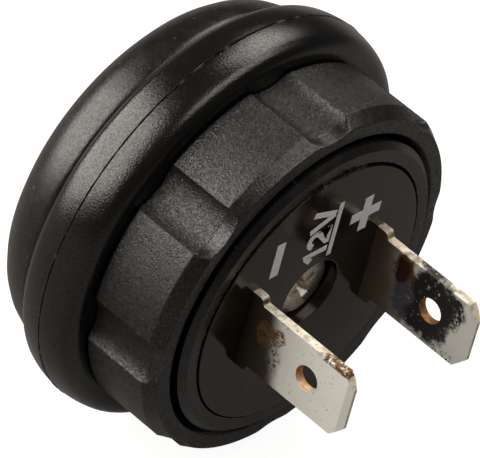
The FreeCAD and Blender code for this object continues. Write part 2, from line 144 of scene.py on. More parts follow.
class SocketSizes(bpy.types.PropertyGroup):
    """Sizes of the details that the scene adds to the solids"""

    thread_pitch: length("Thread pitch", "Advance of the barrel's thread in one turn", 1.5 * MM)
    thread_depth: length("Thread depth", "Depth of the thread on the barrel and in the nut", 0.5 * MM)
    edge_round: length("Edge round", "Round on moulded edges", 0.12 * MM)
    parting_lip: length("Parting lip", "Height of the mould's parting line on the gasket", 0.09 * MM)
    flute_width: length("Flute width", "Width of each flute on the nut", 4.3 * MM)
    flute_depth: length("Flute depth", "Depth of each flute on the nut", 0.9 * MM)
    flute_turn: FloatProperty(name="Flute turn", description="Turn of the first flute from the top",
                              default=math.radians(4), subtype="ANGLE")
    mark_thick: length("Print thickness", "Thickness of the printed marks", 0.015 * MM)


class SocketColours(bpy.types.PropertyGroup):
    """Colours of the socket's finishes"""

    moulding: colour("Moulding", "Satin black plastic of body and nut", (0.0045, 0.0043, 0.0041))
    gloss: colour("Cover", "Glossy brown-black plastic of the cover", (0.0068, 0.0047, 0.0035))
    rubber: colour("Rubber", "Black rubber of the gasket", (0.0034, 0.0032, 0.003))
    dust: colour("Dust", "Pale dust on the mouldings", (0.2, 0.19, 0.18))
    print_grey: colour("Print", "Printed marks", (0.86, 0.9, 0.92))
    tin: colour("Tin", "Tin plate on the blades", (0.92, 0.93, 0.86))
    heat_tan: colour("Heat tan", "Metal tinted by heat above the foot of the blades", (0.3, 0.22, 0.14))
    heat_brown: colour("Heat brown", "Browned metal at the foot of the blades", (0.018, 0.011, 0.005))
    amber: colour("Amber", "Thin flux stains on the blades", (0.1, 0.046, 0.005))
    flux: colour("Flux", "Thick flux stains on the blades", (0.022, 0.005, 0.002))
    copper: colour("Copper", "Bare metal in the blades' holes", (0.5, 0.21, 0.03))
    soot: colour("Soot", "Dark residue on the blades", (0.012, 0.011, 0.01))
    steel_blue: colour("Blue grey", "Tarnish round the positive blade's hole", (0.1, 0.1, 0.12))
    nickel: colour("Nickel", "Plated screw and magnets", (0.78, 0.7, 0.62))
    brass: colour("Brass", "Contacts", (0.75, 0.55, 0.27))
    steel: colour("Steel", "Spring, washers and holding ring", (0.45, 0.45, 0.46))
    floor: colour("Floor", "Studio floor", (0.16, 0.15, 0.142))
    lamp: colour("Lamps", "Light of the softboxes", (1.0, 0.94, 0.88))


class Finish:
    """One node material, built up socket by socket."""

    def __init__(self, name, **settings):
        self.material = bpy.data.materials.new(name)
        self.material.use_nodes = True
        self.tree = self.material.node_tree
        self.shader = self.tree.nodes["Principled BSDF"]
        self.place = self.node("ShaderNodeTexCoord").outputs["Object"]
        self.set(**settings)

    @classmethod
    def over(cls, tree):
        """Works on a node tree that is there already, such as the world's."""
        made = cls.__new__(cls)
        made.tree = tree
        return made

    def node(self, kind, **settings):
        made = self.tree.nodes.new(kind)
        for key, value in settings.items():
            setattr(made, key, value)
        return made

    def feed(self, socket, value):
        """Links a socket, or sets its number, vector or colour."""
        if isinstance(value, bpy.types.NodeSocket):
            self.tree.links.new(value, socket)
        elif hasattr(value, "__len__"):
            socket.default_value = (*value[:3], 1.0) if len(socket.default_value) == 4 else value
        else:
            socket.default_value = value

    def set(self, **settings):
        """Sets or links the shader's sockets, named with underscores."""
        for key, value in settings.items():
            self.feed(self.shader.inputs[key.replace("_", " ")], value)

    def noise(self, scale, detail=3.0, roughness=0.55, place=None):
        made = self.node("ShaderNodeTexNoise")
        self.feed(made.inputs["Vector"], place or self.place)
        for key, value in (("Scale", scale), ("Detail", detail), ("Roughness", roughness)):
            made.inputs[key].default_value = value
        return made.outputs["Fac"]

    def cells(self, scale):
        made = self.node("ShaderNodeTexVoronoi")
        self.feed(made.inputs["Vector"], self.place)
        made.inputs["Scale"].default_value = scale
        return made.outputs["Distance"]

    def math(self, operation, first, second=0.0):
        made = self.node("ShaderNodeMath", operation=operation)
        self.feed(made.inputs[0], first)
        self.feed(made.inputs[1], second)
        return made.outputs[0]

    def times(self, first, second):
        return self.math("MULTIPLY", first, second)

    def plus(self, first, second):
        return self.math("ADD", first, second)

    def minus(self, first, second):
        return self.math("SUBTRACT", first, second)

    def away(self, first, second):
        """Distance from a middle, given the distances along two axes."""
        return self.math("SQRT", self.plus(self.times(first, first), self.times(second, second)))

    def span(self, value, low, high, bottom=0.0, top=1.0):
        """Maps low to high onto bottom to top, held at both ends."""
        made = self.node("ShaderNodeMapRange", interpolation_type="SMOOTHSTEP")
        for index, entry in enumerate((value, low, high, bottom, top)):
            self.feed(made.inputs[index], entry)
        return made.outputs[0]

    def patches(self, scale, detail, low, high, bottom=0.0, top=1.0, roughness=0.55):
        """Noise mapped from low to high onto bottom to top."""
        return self.span(self.noise(scale, detail, roughness), low, high, bottom, top)

    def mix(self, share, first, second):
        made = self.node("ShaderNodeMix", data_type="RGBA")
        self.feed(made.inputs[0], share)
        self.feed(made.inputs[6], first)
        self.feed(made.inputs[7], second)
        return made.outputs[2]

    def blot(self, out, across, middle, reach, broken):
        """1 inside an ellipse with a ragged edge, 0 outside it. A higher broken leaves more of it clear."""
        along = self.math("DIVIDE", self.minus(out, middle[0]), reach[0])
        over = self.math("DIVIDE", self.minus(across, middle[1]), reach[1])
        ragged = self.times(self.minus(self.noise(650, 5, 0.65), 0.5), 1.6)
        inside = self.span(self.plus(self.away(along, over), ragged), 0.75, 1.05, 1.0, 0.0)
        return self.times(inside, self.patches(2600, 3, broken - 0.06, broken + 0.06, roughness=0.7))

    def axes(self):
        made = self.node("ShaderNodeSeparateXYZ")
        self.feed(made.inputs[0], self.place)
        return made.outputs

    def facing(self):
        """Outward normal's parts along X, Y and Z."""
        made = self.node("ShaderNodeSeparateXYZ")
        self.feed(made.inputs[0], self.node("ShaderNodeNewGeometry").outputs["Normal"])
        return made.outputs

    def bump(self, height, strength, distance, under=None):
        made = self.node("ShaderNodeBump")
        made.inputs["Strength"].default_value = strength
        made.inputs["Distance"].default_value = distance
        self.feed(made.inputs["Height"], height)
        if under is not None:
            self.feed(made.inputs["Normal"], under)
        return made.outputs[0]


def colours():
    return bpy.context.scene.socket_colours


def sizes():
    return bpy.context.scene.socket_sizes


def shaded(base, share):
    """A colour made darker or lighter."""
    return [share * part for part in base]


def held(value):
    """Keeps a share between 0 and 1."""
    return min(max(value, 0.0), 1.0)


def fade_between(y, low, high, reach):
    """1 between two levels and 0 outside them, rising over a reach inside each."""
    return held((y - low) / reach) * held((high - y) / reach)


def rectangle(x, z, wide, tall):
    """Corners of an upright rectangle about a middle."""
    left, right = x - wide / 2, x + wide / 2
    low, high = z - tall / 2, z + tall / 2
    return [(left, low), (right, low), (right, high), (left, high)]


def fillet_path(corners, closed):
    """Points along corners (radius, y, round): each round corner becomes an arc."""
    count = len(corners)
    points = []
    for i, (x, y, size) in enumerate(corners):
        corner = Vector((x, y))
        if size == 0 or (not closed and i in (0, count - 1)):
            points.append(corner)
            continue
        before = (Vector(corners[i - 1][:2]) - corner).normalized()
        after = (Vector(corners[(i + 1) % count][:2]) - corner).normalized()
        half = before.angle(after) / 2
        reach = size / math.tan(half)
        centre = corner + (before + after).normalized() * (size / math.sin(half))
        first = corner + before * reach - centre
        swing = first.angle_signed(corner + after * reach - centre)
        for step in range(ROUND_STEPS + 1):
            turn = -swing * step / ROUND_STEPS
            points.append(centre + Matrix.Rotation(turn, 2) @ first)
    return points


def divide(points, low, high, step):
    """Adds points on the sides that lie between two levels of y, about a step apart."""
    result = []
    for here, there in zip(points, points[1:] + points[:1]):
        result.append(here)
        bottom, top = sorted((here.y, there.y))
        if top - bottom > step and bottom >= low - HAIR and top <= high + HAIR:
            count = int((top - bottom) / step)
            result += [here.lerp(there, k / count) for k in range(1, count)]
    return result


def link_object(name, data):
    made = bpy.data.objects.new(name, data)
    bpy.context.scene.collection.objects.link(made)
    return made


def new_piece(name, bm):
    bmesh.ops.recalc_face_normals(bm, faces=bm.faces)
    mesh = bpy.data.meshes.new(name)
    bm.to_mesh(mesh)
    bm.free()
    return link_object(name, mesh)


def skin(name, bm, rows):
    """Piece from rows of as many points each: joined in order, and closed at both ends."""
    for here, there in zip(rows, rows[1:]):
        for k in range(len(here)):
            bm.faces.new((here[k - 1], here[k], there[k], there[k - 1]))
    bm.faces.new(rows[0])
    bm.faces.new(rows[-1])
    return new_piece(name, bm)


def even_turns(count):
    return [math.tau * k / count for k in range(count)]


def lathe(name, points, turns, closed=True, bend=None):
    """Mesh turned about Y. bend(radius, y, turn) may change each point's radius."""
    bm = bmesh.new()
    rings = []
    for point in points:
        if point.x < HAIR:
            rings.append([bm.verts.new((0, point.y, 0))] * len(turns))
            continue
        ring = []
        for turn in turns:
            radius = bend(point.x, point.y, turn) if bend else point.x
            ring.append(bm.verts.new((radius * math.sin(turn), point.y, radius * math.cos(turn))))
        rings.append(ring)
    pairs = list(zip(rings, rings[1:]))
    if closed:
        pairs.append((rings[-1], rings[0]))
    for low, high in pairs:
        for k in range(len(turns)):
            corners = [low[k], low[k - 1], high[k - 1], high[k]]
            bm.faces.new(list(dict.fromkeys(corners)))
    return new_piece(name, bm)


def prism(name, outline, axis, low, high):
    """Solid from a flat outline pushed along an axis. The outline runs over the other two axes in order."""
    others = [k for k in range(3) if k != axis]
    bm = bmesh.new()
    loops = []
    for level in (low, high):
        loop = []
        for point in outline:
            place = [0.0, 0.0, 0.0]
            place[axis] = level
            place[others[0]], place[others[1]] = point
            loop.append(bm.verts.new(place))
        loops.append(loop)
    return skin(name, bm, loops)


def circle_points(x, y, radius, count=48):
    return [(x + radius * math.cos(turn), y + radius * math.sin(turn)) for turn in even_turns(count)]


def combine(piece, other, operation):
    """Cuts one piece with another or joins them, for good. The other piece goes."""
    modifier = piece.modifiers.new("combine", "BOOLEAN")
    modifier.operation = operation
    modifier.solver = "EXACT"
    modifier.object = other
    apply_modifiers(piece)
    bpy.data.objects.remove(other)


def apply_modifiers(piece):
    bpy.context.view_layer.update()
    shaped = piece.evaluated_get(bpy.context.evaluated_depsgraph_get())
    mesh = bpy.data.meshes.new_from_object(shaped)
    piece.modifiers.clear()
    old, piece.data = piece.data, mesh
    bpy.data.meshes.remove(old)
    mesh.name = piece.name


def ease_edges(piece, width, angle):
    """Rounds the edges that turn by more than an angle."""
    piece.data.shade_smooth()
    modifier = piece.modifiers.new("ease", "BEVEL")
    modifier.width = width
    modifier.segments = 2
    modifier.limit_method = "ANGLE"
    modifier.angle_limit = math.radians(angle)
    modifier.harden_normals = True
    apply_modifiers(piece)


def settle(piece, finish, body, replaces=None, sharp=35):
    """Gives a piece its finish and shading, and ties it to the frame. Eased pieces have no sharp angle."""
    piece.data.materials.clear()
    piece.data.materials.append(finish)
    if sharp:
        piece.data.shade_smooth()
        piece.data.set_sharp_from_angle(angle=math.radians(sharp))
    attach(piece, body)
    if replaces:
        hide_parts(replaces)


def dress_nodes(names, finish):
    """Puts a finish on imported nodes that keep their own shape."""
    for name in names:
        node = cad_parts[name]
        node.data.materials.clear()
        node.data.materials.append(finish)


def thread_share(y, turn):
    """0 on the thread's crest and 1 at its root, for a point on the barrel."""
    phase = (y / sizes().thread_pitch - turn / math.tau) % 1.0
    share = held(1.35 * (1 - abs(2 * phase - 1)) - 0.15)
    return share * share * (3 - 2 * share)


def seam_dust(made):
    """Broken line of dust along the seam between body and cover."""
    x, y, z = made.axes()
    off_seam = made.math("ABSOLUTE", made.minus(made.away(x, z), SEAM_RADIUS))
    line = made.span(off_seam, 0.06 * MM, 0.16 * MM, 1.0, 0.0)
    behind = made.span(y, COVER_FRONT + MM, COVER_FRONT + 1.5 * MM)
    return made.times(made.times(line, behind), made.patches(2200, 2, 0.56, 0.62, 0.0, 0.5))


def fine_shine(made):
    """Shine that varies over a fine grain."""
    return made.patches(6500, 2, 0.36, 0.64, 0.34, 0.6)


def satin_moulding():
    """Black plastic with a fine grain, and dust on it and in the cover's seam."""
    made = Finish("satin_moulding")
    base = colours().moulding
    specks = made.math("MAXIMUM", made.patches(2600, 1, 0.74, 0.78, 0.0, 0.35), seam_dust(made))
    shade = made.mix(made.noise(220, 3), base, shaded(base, 1.5))
    made.set(
        Base_Color=made.mix(specks, shade, colours().dust),
        Roughness=made.patches(900, 4, 0.3, 0.7, 0.22, 0.32),
        Specular_IOR_Level=fine_shine(made),
        Normal=made.bump(made.noise(7800, 2), 0.8, 0.028 * MM),
    )
    return made.material


def gasket_rubber():
    """Black rubber, smoother than the mouldings and scuffed along its parting line."""
    made = Finish("gasket_rubber")
    base = colours().rubber
    off_line = made.math("ABSOLUTE", made.minus(made.axes()["Y"], GASKET_MIDDLE))
    scuff = made.times(made.span(off_line, 0.04 * MM, 0.12 * MM, 0.45, 0.0), made.patches(700, 4, 0.52, 0.66))
    shade = made.mix(made.noise(160, 3), base, shaded(base, 1.6))
    fine = made.bump(made.noise(7500, 2), 0.75, 0.027 * MM)
    made.set(
        Base_Color=made.mix(scuff, shade, colours().dust),
        Roughness=made.patches(420, 5, 0.3, 0.7, 0.13, 0.2),
        Specular_IOR_Level=fine_shine(made),
        Normal=made.bump(made.noise(90, 2), 0.12, 0.3 * MM, fine),
    )
    return made.material


def grained_moulding():
    """Coarse spark grain on the grip, finer on the chamfer and the back face."""
    made = Finish("grained_moulding")
    base = colours().moulding
    grip = made.span(made.axes()["Y"], NUT_BACK - 1.3 * MM, NUT_BACK - 1.1 * MM, 1.0, 0.35)
    grain = made.plus(made.times(made.cells(8200), 0.6), made.noise(7600, 2, 0.6))
    specks = made.patches(3100, 1, 0.73, 0.77, 0.0, 0.3)
    shade = made.mix(made.span(grain, 0.5, 1.0), shaded(base, 0.7), shaded(base, 1.9))
    made.set(
        Base_Color=made.mix(specks, shade, colours().dust),
        Roughness=made.patches(1500, 3, 0.3, 0.7, 0.24, 0.33),
        Specular_IOR_Level=made.span(grain, 0.55, 1.0, 0.15, 0.58),
        Normal=made.bump(made.times(grain, grip), 1.0, 0.05 * MM),
    )
    return made.material


def glossy_cover():
    """Brown-black plastic, nearly smooth, with specks of dust in places."""
    made = Finish("glossy_cover", Specular_IOR_Level=0.4)
    base = colours().gloss
    specks = made.times(made.patches(3400, 1, 0.74, 0.77, 0.0, 0.5), made.patches(260, 2, 0.4, 0.6))
    shade = made.mix(made.noise(300, 3), base, shaded(base, 1.7))
    made.set(
        Base_Color=made.mix(specks, shade, colours().dust),
        Roughness=made.patches(800, 5, 0.35, 0.7, 0.1, 0.2),
        Normal=made.bump(made.noise(1800, 3), 0.06, 0.03 * MM),
    )
    return made.material


def printed_grey():
    """Pale print, a little worn."""
    made = Finish("printed_grey", Specular_IOR_Level=0.3)
    grey = colours().print_grey
    wear = made.patches(5200, 4, 0.3, 0.55, roughness=0.7)
    made.set(
        Base_Color=made.mix(wear, shaded(grey, 0.75), grey),
        Roughness=made.span(wear, 0.0, 1.0, 0.5, 0.65),
        Normal=made.bump(made.noise(7000, 2), 0.2, 0.01 * MM),
    )
    return made.material


def plated(name, base, rough, stretch=(1, 1, 1)):
    """Bright metal with fine marks along one direction."""
    made = Finish(name, Metallic=1.0)
    mapping = made.node("ShaderNodeMapping")
    made.feed(mapping.inputs["Vector"], made.place)
    mapping.inputs["Scale"].default_value = stretch
    marks = made.noise(4000, 4, 0.6, mapping.outputs[0])
    made.set(
        Base_Color=made.mix(marks, shaded(base, 0.86), base),
        Roughness=made.span(marks, 0.25, 0.75, rough, rough + 0.18),
        Normal=made.bump(marks, 0.06, 0.015 * MM),
    )
    return made.material


# Stains on each blade: colour, middle and reach (along the blade from the cover, across it), how broken
STAINS = {
    "positive": (
        ("steel_blue", (4.6 * MM, -0.3 * MM), (1.8 * MM, 3.0 * MM), 0.36),
        ("soot", (6.6 * MM, 0.3 * MM), (2.5 * MM, 3.9 * MM), 0.31),
        ("soot", (8.9 * MM, -2.9 * MM), (1.8 * MM, 0.6 * MM), 0.56),
        ("soot", (8.5 * MM, 1.3 * MM), (1.8 * MM, 1.9 * MM), 0.42),
        ("amber", (3.5 * MM, 1.9 * MM), (1.3 * MM, 1.5 * MM), 0.3),
        ("flux", (3.4 * MM, 1.6 * MM), (0.9 * MM, 1.3 * MM), 0.3),
    ),
    "negative": (
        ("amber", (2.1 * MM, 0.9 * MM), (1.1 * MM, 1.4 * MM), 0.46),
        ("amber", (3.3 * MM, 1.4 * MM), (0.9 * MM, 1.1 * MM), 0.47),
        ("soot", (2.9 * MM, -0.9 * MM), (1.3 * MM, 2.0 * MM), 0.55),
        ("amber", (9.6 * MM, 3.0 * MM), (2.6 * MM, 0.3 * MM), 0.45),
    ),
}


def tinned_blade(pole, scorch):
    """Tin plate browned at the foot and stained, with a painted highlight: the browning is mostly left off
    the faces that turn upwards. scorch is how dark the foot is.
    """
    made = Finish(f"tin_{pole}")
    palette = colours()
    across = made.axes()["Z"]
    out = made.minus(made.axes()["Y"], COVER_BACK)
    facing = made.facing()
    rim = made.span(made.math("ABSOLUTE", facing["X"]), 0.35, 0.75, 1.0, 0.0)
    # Painted highlight: faces that turn upwards keep only 0.15 of the heat tan and browning, so the upper
    # edges stay light tin
    painted_top_highlight_mask = made.span(facing["Z"], 0.5, 0.9, 1.0, 0.15)

    wander = made.times(made.minus(made.noise(420, 4), 0.5), 1.8 * MM)
    slant = made.plus(made.plus(out, wander), made.times(across, 0.22))
    pits = made.times(made.patches(4200, 2, 0.64, 0.72, 0.0, 0.6), made.patches(300, 2, 0.42, 0.58))
    # Heat tan and browning of the foot, cut back on the up-facing edges where the painted highlight goes
    tan = made.times(made.span(slant, 1.6 * MM, 4.4 * MM, 0.9, 0.0), painted_top_highlight_mask)
    brown = made.times(made.span(slant, 2.5 * MM, 4.3 * MM, scorch, 0.0), painted_top_highlight_mask)
    gold = made.times(rim, made.patches(800, 3, 0.4, 0.6, 0.05, 0.4))
    grime = made.times(rim, made.patches(1500, 3, 0.45, 0.62, 0.05, 0.6))
    layers = [(pits, palette.heat_brown), (tan, palette.heat_tan), (brown, palette.heat_brown),
              (gold, palette.brass), (grime, palette.heat_tan)]

    residue = 0.0
    for tint, middle, reach, broken in STAINS[pole]:
        stain = made.blot(out, across, middle, reach, broken)
        layers.append((stain, getattr(palette, tint)))
        if tint != "steel_blue":
            residue = made.math("MAXIMUM", residue, stain)

    from_hole = made.away(made.minus(out, BLADE_HOLE_OUT), across)
    wall = made.span(from_hole, BLADE_HOLE_RADIUS + 0.02 * MM, BLADE_HOLE_RADIUS + 0.18 * MM, 1.0, 0.0)
    copper = made.times(made.times(wall, rim), made.patches(900, 3, 0.4, 0.6, 0.3, 0.95))
    layers.append((copper, palette.copper))

    shade = made.mix(made.noise(600, 5, 0.65), shaded(palette.tin, 0.82), palette.tin)
    for share, tint in layers:
        shade = made.mix(share, shade, tint)
    rough = made.patches(1100, 5, 0.3, 0.7, 0.34, 0.46, roughness=0.65)
    rough = made.plus(rough, made.times(rim, 0.2))
    grain = made.bump(made.noise(2600, 5, 0.7), 0.22, 0.04 * MM)
    made.set(
        Base_Color=shade,
        Metallic=made.span(residue, 0.0, 1.0, 0.52, 0.1),
        Roughness=made.plus(rough, made.times(brown, 0.12)),
        Normal=made.bump(residue, 0.5, 0.06 * MM, grain),
    )
    return made.material


class SOCKET_OT_body(bpy.types.Operator):
    """Moulded body: rounded bezel, plug seat with pin wells and threaded barrel"""

    bl_idname = "socket.body"
    bl_label = "Body"

    BEZEL_ROUND = 4.6 * MM
    RIM_CHAMFER = 0.5 * MM
    # Radius and depth of the well and the hole for each pin
    PIN_CUTS = ((1.78 * MM, 0.6 * MM), (1.18 * MM, 2 * FACE_THICK))

    def execute(self, context):
        ease = sizes().edge_round
        pitch = sizes().thread_pitch
        thread_end = RIM - self.RIM_CHAMFER
        corners = [
            (0, FACE, 0), (DISH_RADIUS, FACE, 0.3 * MM), (DISH_RADIUS, FRONT, 0.6 * MM),
            (BEZEL_RADIUS, FRONT, self.BEZEL_ROUND), (BEZEL_RADIUS, SEAT, 0.7 * MM), (BARREL_RADIUS, SEAT, 0),
            (BARREL_RADIUS, thread_end, 0), (BARREL_RADIUS - self.RIM_CHAMFER, RIM, ease),
            (SEAM_RADIUS, RIM, ease / 2), (SEAM_RADIUS, COVER_FRONT, 0), (CAVITY_RADIUS, COVER_FRONT, 0),
            (CAVITY_RADIUS, FLOOR, 0), (POST_RADIUS, FLOOR, 0), (POST_RADIUS, POST_END, 0),
            (PILOT_RADIUS, POST_END, 0), (PILOT_RADIUS, SCREW_TIP, 0), (0, SCREW_TIP, 0),
        ]
        points = divide(fillet_path(corners, closed=False), SEAT, thread_end, pitch / 16)

        def threaded(radius, y, turn):
            if abs(radius - BARREL_RADIUS) > SAME_RADIUS:
                return radius
            fade = fade_between(y, SEAT + pitch, thread_end, pitch)
            return radius - sizes().thread_depth * thread_share(y, turn) * fade

        piece = lathe("body_moulding", points, even_turns(COLUMNS), closed=False, bend=threaded)
        for side in (-1, 1):
            for radius, depth in self.PIN_CUTS:
                outline = circle_points(side * PIN_MIDDLE, 0, radius)
                combine(piece, prism("pin_well", outline, 1, FACE - MM, FACE + depth), "DIFFERENCE")
        settle(piece, satin_moulding(), "housing", "socket_body")
        return {"FINISHED"}


class SOCKET_OT_gasket(bpy.types.Operator):
    """Rubber gasket with the mould's parting line round its crown"""

    bl_idname = "socket.gasket"
    bl_label = "Gasket"

    CROWN = 6.0 * MM
    SHOULDER = 1.5 * MM
    ARC_STEPS = 12
    TURNS = 480
    # Rows close together on both sides of the parting line
    FINE_REACH = 0.4 * MM
    FINE_STEP = 0.016 * MM
    FINE_ROWS = 24

    def section(self, top):
        """Ring's outline: a broad crown that meets a smaller shoulder on each side."""
        crown, shoulder = self.CROWN, self.SHOULDER
        half = GASKET_HIGH.y - GASKET_MIDDLE
        centre = top - crown
        drop = half - shoulder
        run = math.sqrt((crown - shoulder) ** 2 - drop ** 2)
        tilt = math.atan2(drop, run)
        rear = []
        for step in range(1, self.ARC_STEPS + 1):
            angle = tilt * (step / self.ARC_STEPS) ** 2
            rear.append((centre + crown * math.cos(angle), crown * math.sin(angle)))
        for step in range(1, self.ARC_STEPS + 1):
            angle = tilt + (math.pi / 2 - tilt) * step / self.ARC_STEPS
            rear.append((centre + run + shoulder * math.cos(angle), drop + shoulder * math.sin(angle)))
        rear.append((BORE_RADIUS, half))
        rear = [(radius, y) for radius, y in rear if y > self.FINE_REACH]
        front = [(radius, -y) for radius, y in reversed(rear)]
        levels = [k * self.FINE_STEP for k in range(-self.FINE_ROWS, self.FINE_ROWS + 1)]
        fine = [(top - y * y / (2 * crown), y) for y in levels]
        return [Vector((radius, GASKET_MIDDLE + y)) for radius, y in front + fine + rear]

    def execute(self, context):
        lip = sizes().parting_lip
        top = GASKET_RADIUS - lip

        def parted(radius, y, turn):
            """A torn ridge stands beside a fine groove."""
            away = y - GASKET_MIDDLE
            if abs(away) > self.FINE_REACH or radius < top - lip:
                return radius
            spot = Vector((6 * math.sin(turn), 6 * math.cos(turn), 3.0))
            torn = 0.6 + 0.5 * noise.noise(spot * 4) + 0.25 * noise.noise(spot * 13)
            ridge = math.exp(-((away + 0.05 * MM) / (0.035 * MM)) ** 2) * min(max(torn, 0.35), 0.8)
            groove = 0.9 * math.exp(-((away - 0.02 * MM) / (0.026 * MM)) ** 2)
            return radius + lip * (ridge - groove)

        piece = lathe("gasket_ring", self.section(top), even_turns(self.TURNS), bend=parted)
        settle(piece, gasket_rubber(), "housing", "sealing_gasket", sharp=60)
        return {"FINISHED"}


class SOCKET_OT_nut(bpy.types.Operator):
    """Ring nut with a fluted grip and a thread in its bore"""

    bl_idname = "socket.nut"
    bl_label = "Ring nut"

    FLUTES = 8
    CHAMFER_LENGTH = 1.15 * MM
    CHAMFER_DEPTH = 0.6 * MM
    LEAD_IN = 0.4 * MM
    # Half width of the ellipse that is each flute's floor, as a share of the flute's own
    FLOOR_SPREAD = 1.07
    # Rounds where a flute meets the grip, and where it meets the chamfer
    GRIP_BLEND = 0.05 * MM
    END_BLEND = 0.25 * MM

    def columns(self, half_angle):
        """Turns of the mesh's columns: close together at the edges of each flute."""
        near = (0.0, 0.02, 0.045, 0.08, 0.13, 0.2, 0.32)
        shares = {round(1 + sign * step, 4) for step in near for sign in (-1, 1)}
        shares = sorted(shares | {k / 10 for k in range(7)})
        half_pitch = math.pi / self.FLUTES
        outer = half_angle * max(shares)
        turns = [half_angle * share for share in shares]
        turns += [outer + (half_pitch - outer) * k / 9 for k in range(1, 9)]
        turns = [-t for t in reversed(turns) if t > 0] + turns + [half_pitch]
        first = sizes().flute_turn
        return [first + turn + 2 * half_pitch * k for k in range(self.FLUTES) for turn in turns]

    def section(self, entry):
        """Ring's outline, with rows close enough for the thread and for the flutes' ends."""
        ease = sizes().edge_round
        thread_end = NUT_BACK - self.LEAD_IN
        corners = [
            (entry, NUT_FRONT, 0), (NUT_RADIUS, NUT_FRONT, 0.3 * MM),
            (NUT_RADIUS, NUT_BACK - self.CHAMFER_LENGTH, ease),
            (NUT_RADIUS - self.CHAMFER_DEPTH, NUT_BACK, ease), (entry, NUT_BACK, ease),
            (BORE_RADIUS, thread_end, 0), (BORE_RADIUS, NUT_FRONT + self.LEAD_IN, 0),
        ]
        points = divide(fillet_path(corners, closed=True), NUT_BACK - 1.3 * MM, NUT_BACK, 0.07 * MM)
        return divide(points, NUT_FRONT, thread_end, 0.15 * MM)

    def execute(self, context):
        entry = BORE_RADIUS + self.LEAD_IN
        half = sizes().flute_width / 2
        half_angle = math.asin(half / NUT_RADIUS)
        level = NUT_RADIUS * math.cos(half_angle)
        across_axis = self.FLOOR_SPREAD * half
        edge = math.sqrt(1 - (half / across_axis) ** 2)
        depth_axis = (sizes().flute_depth - NUT_RADIUS + level) / (1 - edge)
        pitch_angle = math.tau / self.FLUTES

        def flute_floor(away):
            """Radius of the flute's elliptic floor at an angle from its middle."""
            radius = level / math.cos(away)
            for _ in range(3):
                share = min(abs(radius * math.sin(away)) / across_axis, 1.0)
                radius = (level - depth_axis * (math.sqrt(1 - share ** 2) - edge)) / math.cos(away)
            return radius

        def fluted(radius, y, turn):
            if radius < BORE_RADIUS + SAME_RADIUS:
                fade = fade_between(y, NUT_FRONT + self.LEAD_IN, NUT_BACK - self.LEAD_IN, MM)
                return radius - 0.9 * sizes().thread_depth * thread_share(y, turn) * fade
            away = (turn - sizes().flute_turn + pitch_angle / 2) % pitch_angle - pitch_angle / 2
            if radius < entry + 0.5 * MM or abs(away) > 1.08 * half_angle:
                return radius
            floor = flute_floor(away)
            end_share = held((y - NUT_BACK + 1.6 * MM) / (0.6 * MM))
            blend = self.GRIP_BLEND + (self.END_BLEND - self.GRIP_BLEND) * end_share
            nearer = max(blend - abs(radius - floor), 0.0) / blend
            return min(radius, floor) - nearer ** 2 * blend / 4

        piece = lathe("nut_ring", self.section(entry), self.columns(half_angle), bend=fluted)
        settle(piece, grained_moulding(), "nut", "mounting_nut", sharp=45)
        return {"FINISHED"}


